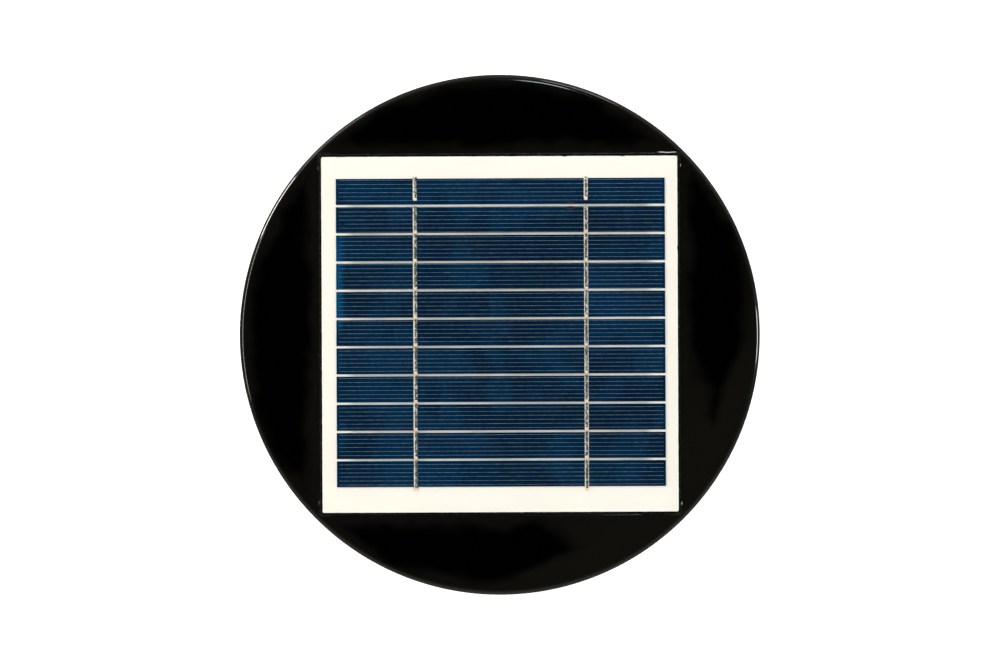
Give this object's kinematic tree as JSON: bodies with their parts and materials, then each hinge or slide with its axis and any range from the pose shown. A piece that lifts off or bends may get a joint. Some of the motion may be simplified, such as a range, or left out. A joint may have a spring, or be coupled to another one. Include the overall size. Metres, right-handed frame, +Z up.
{
  "type": "solar attic fan",
  "caption": "Round roof exhaust fan: a weather cap with a square solar panel let into its top, over a motor, fan wheel, insect screen and short roof collar with a sealing flange.",
  "frame": {"origin": "centre of the collar's lower rim, which is the object's lowest level", "axes": "+Z up along the fan's axis, towards the solar panel; +Y towards the upper edge of the panel; +X to the right along its cell strips"},
  "size_m": [0.247, 0.247, 0.1023],
  "materials": {
    "black_abs": "gloss moulded ABS",
    "dark_plastic": "satin moulded plastic",
    "panel_white": "white laminate under clear film",
    "silicon_cell": "blue polycrystalline silicon",
    "tinned_ribbon": "tinned copper",
    "clear_film": "clear laminate film",
    "foam_seal": "closed-cell foam",
    "black_rubber": "moulded rubber",
    "zinc_steel": "zinc-plated steel",
    "stainless_screw": "stainless steel",
    "wire_cloth": "woven aluminium wire",
    "sintered_bronze": "sintered bronze",
    "copper_wire": "enamelled copper",
    "brass_spring": "brass strip",
    "ferrite": "bonded ferrite",
    "cable_jacket": "black PVC jacket",
    "red_wire": "red PVC insulation",
    "black_wire": "black PVC insulation",
    "diode_epoxy": "moulded epoxy"
  },
  "bodies": {
    "root": {"base_housing": "black_abs", "blocking_diode": "diode_epoxy", "cable_grommet": "black_rubber", "cap_screw_1": "stainless_screw", "cap_screw_2": "stainless_screw", "cap_screw_3": "stainless_screw", "cap_screw_4": "stainless_screw", "cell_strip_01": "silicon_cell", "cell_strip_02": "silicon_cell", "cell_strip_03": "silicon_cell", "cell_strip_04": "silicon_cell", "cell_strip_05": "silicon_cell", "cell_strip_06": "silicon_cell", "cell_strip_07": "silicon_cell", "cell_strip_08": "silicon_cell", "cell_strip_09": "silicon_cell", "cell_strip_10": "silicon_cell", "cell_strip_11": "silicon_cell", "clear_cover": "clear_film", "front_bearing": "sintered_bronze", "guard_screw_1": "stainless_screw", "guard_screw_2": "stainless_screw", "guard_screw_3": "stainless_screw", "inlet_guard": "black_abs", "insect_mesh": "wire_cloth", "junction_box": "dark_plastic", "motor_boot": "black_rubber", "motor_brush_1": "brass_spring", "motor_brush_2": "brass_spring", "motor_can": "zinc_steel", "motor_end_bell": "dark_plastic", "motor_magnet": "ferrite", "motor_pod": "black_abs", "motor_screw_1": "stainless_screw", "motor_screw_2": "stainless_screw", "panel_adhesive": "foam_seal", "panel_board": "panel_white", "panel_cable": "cable_jacket", "pod_screw_1": "stainless_screw", "pod_screw_2": "stainless_screw", "rear_bearing": "sintered_bronze", "rocker_pin": "zinc_steel", "roof_gasket": "foam_seal", "screen_cage": "dark_plastic", "switch_body": "dark_plastic", "tab_ribbon_left": "tinned_ribbon", "tab_ribbon_right": "tinned_ribbon", "top_cap": "black_abs", "wire_panel_to_motor": "black_wire", "wire_panel_to_switch": "red_wire", "wire_switch_to_motor": "red_wire"},
    "fan_rotor": {"rotor_shaft": "stainless_screw", "armature_core": "zinc_steel", "armature_winding": "copper_wire", "commutator": "copper_wire", "fan_wheel": "dark_plastic", "hub_clip": "zinc_steel"},
    "rocker": {"switch_rocker": "dark_plastic"}
  },
  "joints": [
    {"name": "fan_spin", "type": "hinge", "parent": "root", "child": "fan_rotor", "pos_m": [0, 0, 0.056], "axis": [0, 0, 1], "continuous": true},
    {"name": "rocker_press", "type": "hinge", "parent": "root", "child": "rocker", "pos_m": [0, 0, 0.0088], "axis": [0, -1, 0], "range_deg": [0, 22]}
  ]
}
